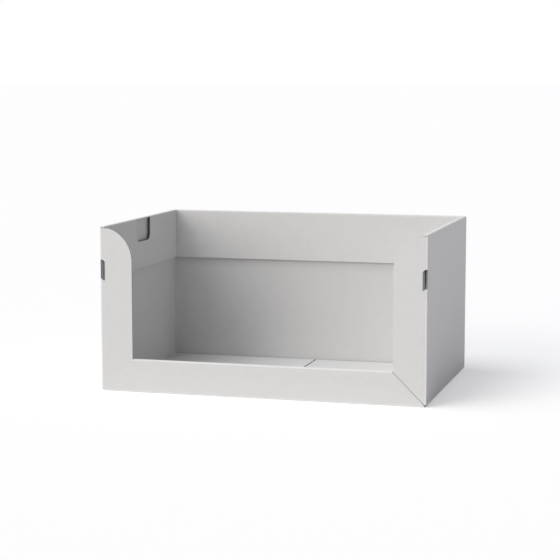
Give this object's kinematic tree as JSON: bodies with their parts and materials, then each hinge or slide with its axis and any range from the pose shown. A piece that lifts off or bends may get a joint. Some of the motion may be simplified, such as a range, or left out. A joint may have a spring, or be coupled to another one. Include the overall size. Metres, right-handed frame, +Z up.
{
  "type": "cardboard display stand",
  "caption": "Open-front display tray folded from one sheet of white fine-flute board, with rolled-over walls, a low front lip and round-shouldered front flanges.",
  "frame": {"origin": "on the table under the middle of the tray's outer box", "axes": "+X along the 400 mm width to the right, +Y from the open front window to the back wall, +Z up"},
  "size_m": [0.4, 0.27, 0.2],
  "materials": {
    "white_board": "matte"
  },
  "bodies": {
    "root": {"display_tray": "white_board"}
  },
  "joints": []
}
